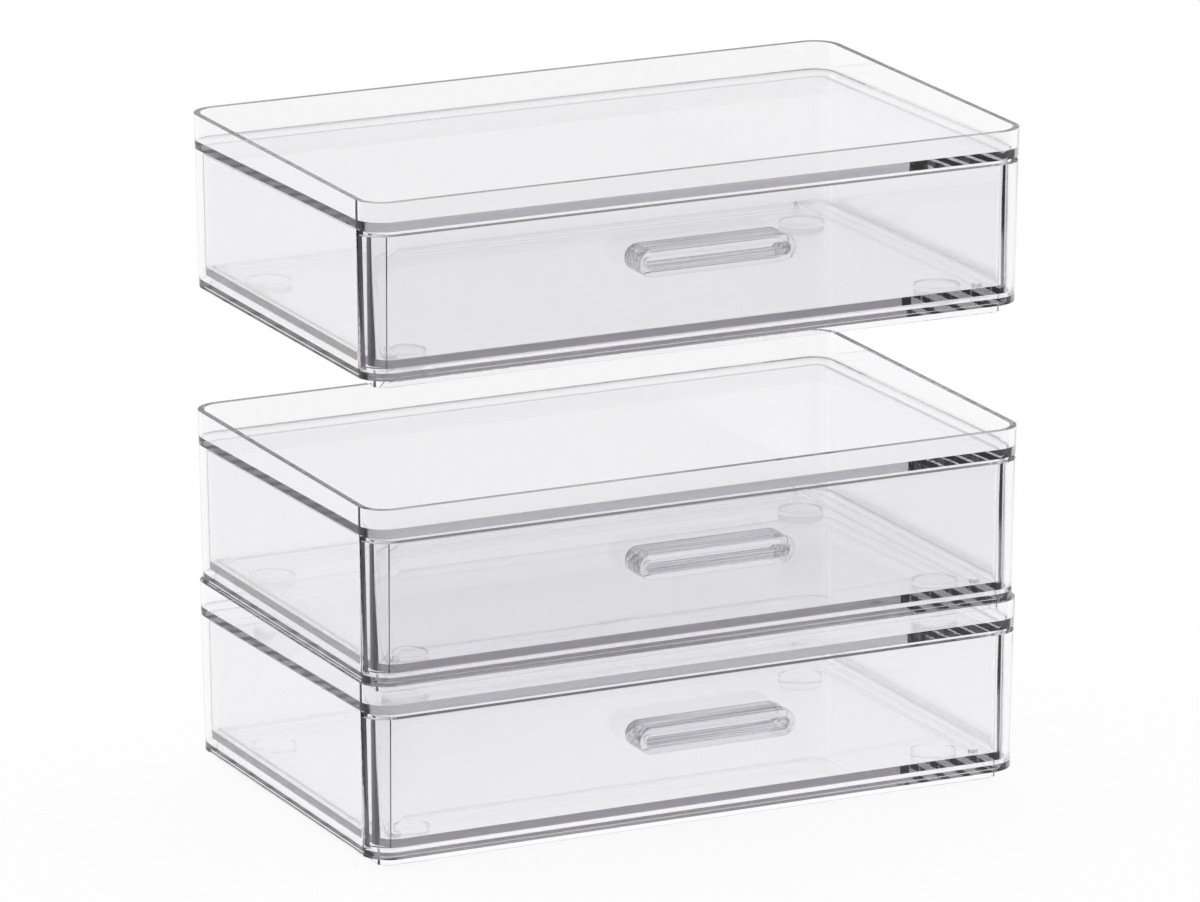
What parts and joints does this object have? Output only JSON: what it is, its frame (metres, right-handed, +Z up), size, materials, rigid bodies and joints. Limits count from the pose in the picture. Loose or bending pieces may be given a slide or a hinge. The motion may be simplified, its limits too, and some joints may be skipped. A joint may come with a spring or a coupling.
{
  "type": "stackable drawer box",
  "caption": "Clear stacking storage boxes with recessed tops; each case holds a pull-out drawer with an oval pull and stands on round pads.",
  "frame": {"origin": "middle of the part's outline on the surface it stands on, handles included", "axes": "+X to the right seen from the drawers' side, +Y to the back, +Z up"},
  "size_m": [0.305, 0.2036, 0.2862],
  "materials": {
    "clear_case": "polished clear acrylic",
    "clear_drawer": "polished clear acrylic",
    "clear_pull": "polished clear acrylic",
    "clear_pad": "soft clear silicone"
  },
  "bodies": {
    "bottom_box": {"bottom_case": "clear_case", "bottom_foot_front_left": "clear_pad", "bottom_foot_front_right": "clear_pad", "bottom_foot_back_left": "clear_pad", "bottom_foot_back_right": "clear_pad"},
    "bottom_pullout": {"bottom_drawer": "clear_drawer", "bottom_handle": "clear_pull"},
    "middle_box": {"middle_case": "clear_case", "middle_foot_front_left": "clear_pad", "middle_foot_front_right": "clear_pad", "middle_foot_back_left": "clear_pad", "middle_foot_back_right": "clear_pad"},
    "middle_pullout": {"middle_drawer": "clear_drawer", "middle_handle": "clear_pull"},
    "top_box": {"top_case": "clear_case", "top_foot_front_left": "clear_pad", "top_foot_front_right": "clear_pad", "top_foot_back_left": "clear_pad", "top_foot_back_right": "clear_pad"},
    "top_pullout": {"top_drawer": "clear_drawer", "top_handle": "clear_pull"}
  },
  "joints": [
    {"name": "bottom_drawer_slide", "type": "slide", "parent": "bottom_box", "child": "bottom_pullout", "axis": [0, -1, 0], "range_m": [0, 0.14]},
    {"name": "middle_drawer_slide", "type": "slide", "parent": "middle_box", "child": "middle_pullout", "axis": [0, -1, 0], "range_m": [0, 0.14]},
    {"name": "top_drawer_slide", "type": "slide", "parent": "top_box", "child": "top_pullout", "axis": [0, -1, 0], "range_m": [0, 0.14]},
    {"name": "middle_lift", "type": "slide", "parent": "bottom_box", "child": "middle_box", "axis": [0, 0, 1], "range_m": [0, 0.054]},
    {"name": "top_lift", "type": "slide", "parent": "middle_box", "child": "top_box", "axis": [0, 0, 1], "range_m": [-0.0543, 0]}
  ]
}
